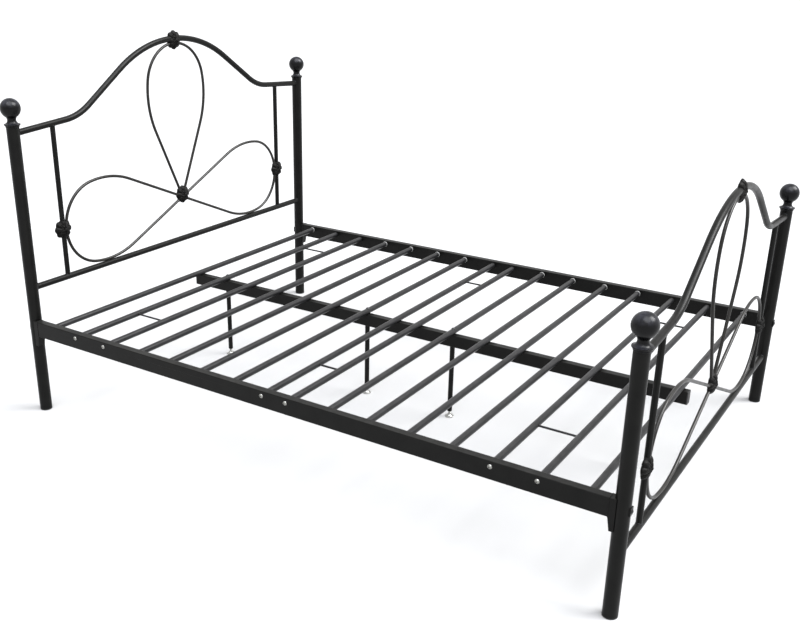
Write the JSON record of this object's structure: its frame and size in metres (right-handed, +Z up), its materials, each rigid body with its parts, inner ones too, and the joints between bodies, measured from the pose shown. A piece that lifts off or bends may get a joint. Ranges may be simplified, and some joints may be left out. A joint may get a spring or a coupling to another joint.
{
  "type": "metal bed frame",
  "caption": "Double bed frame of black powder-coated steel tube with three-petal scrollwork boards, ball finials, round slats and a propped centre beam.",
  "frame": {"origin": "on the floor, under the middle of the bed", "axes": "+X towards the footboard, +Y towards the right side seen from the foot, +Z up"},
  "size_m": [2.005, 1.46, 1.1578],
  "materials": {
    "frame_powder_coat": "satin black powder coat over welded steel tube",
    "finial_gloss_coat": "semi-gloss black coat over cast and pressed metal",
    "rosette_coat": "satin black coat over a rough casting",
    "scroll_coat": "satin black coat over bent round bar",
    "slat_coat": "satin dark grey powder coat over steel tube",
    "cap_plastic": "light grey moulded plastic",
    "black_plastic": "black moulded plastic",
    "bright_zinc": "bright zinc plate",
    "black_zinc": "black zinc plate",
    "nickel_plate": "dull nickel plate"
  },
  "bodies": {
    "frame": {"head_post_left": "frame_powder_coat", "head_post_right": "frame_powder_coat", "head_finial_left": "finial_gloss_coat", "head_finial_right": "finial_gloss_coat", "head_top_rail": "frame_powder_coat", "head_lower_rail": "frame_powder_coat", "head_spindle_left": "frame_powder_coat", "head_spindle_right": "frame_powder_coat", "head_scroll_top": "scroll_coat", "head_scroll_left": "scroll_coat", "head_scroll_right": "scroll_coat", "head_rosettes": "rosette_coat", "foot_post_left": "frame_powder_coat", "foot_post_right": "frame_powder_coat", "foot_finial_left": "finial_gloss_coat", "foot_finial_right": "finial_gloss_coat", "foot_top_rail": "frame_powder_coat", "foot_lower_rail": "frame_powder_coat", "foot_spindle_left": "frame_powder_coat", "foot_spindle_right": "frame_powder_coat", "foot_scroll_top": "scroll_coat", "foot_scroll_left": "scroll_coat", "foot_scroll_right": "scroll_coat", "foot_rosettes": "rosette_coat", "side_rail_left": "frame_powder_coat", "side_rail_right": "frame_powder_coat", "rail_brackets": "frame_powder_coat", "slat_end_caps": "cap_plastic", "spacer_wires": "slat_coat", "slat_01": "slat_coat", "slat_02": "slat_coat", "slat_03": "slat_coat", "slat_04": "slat_coat", "slat_05": "slat_coat", "slat_06": "slat_coat", "slat_07": "slat_coat", "slat_08": "slat_coat", "slat_09": "slat_coat", "slat_10": "slat_coat", "slat_11": "slat_coat", "slat_12": "slat_coat", "slat_13": "slat_coat", "slat_14": "slat_coat", "slat_15": "slat_coat", "slat_16": "slat_coat", "centre_beam": "frame_powder_coat", "beam_end_caps": "black_plastic", "leg_bolts": "black_zinc", "slat_bolts": "bright_zinc", "post_bolts": "black_zinc", "post_washers": "frame_powder_coat", "post_feet": "black_plastic", "leg_1": "frame_powder_coat", "leg_2": "frame_powder_coat", "leg_3": "frame_powder_coat", "leg_4": "frame_powder_coat"},
    "glide_1": {"glide_1": "nickel_plate"},
    "glide_2": {"glide_2": "nickel_plate"},
    "glide_3": {"glide_3": "nickel_plate"},
    "glide_4": {"glide_4": "nickel_plate"}
  },
  "joints": [
    {"name": "glide_1_level", "type": "slide", "parent": "frame", "child": "glide_1", "axis": [0, 0, 1], "range_m": [-0.01, 0.01]},
    {"name": "glide_2_level", "type": "slide", "parent": "frame", "child": "glide_2", "axis": [0, 0, 1], "range_m": [-0.01, 0.01]},
    {"name": "glide_3_level", "type": "slide", "parent": "frame", "child": "glide_3", "axis": [0, 0, 1], "range_m": [-0.01, 0.01]},
    {"name": "glide_4_level", "type": "slide", "parent": "frame", "child": "glide_4", "axis": [0, 0, 1], "range_m": [-0.01, 0.01]}
  ]
}
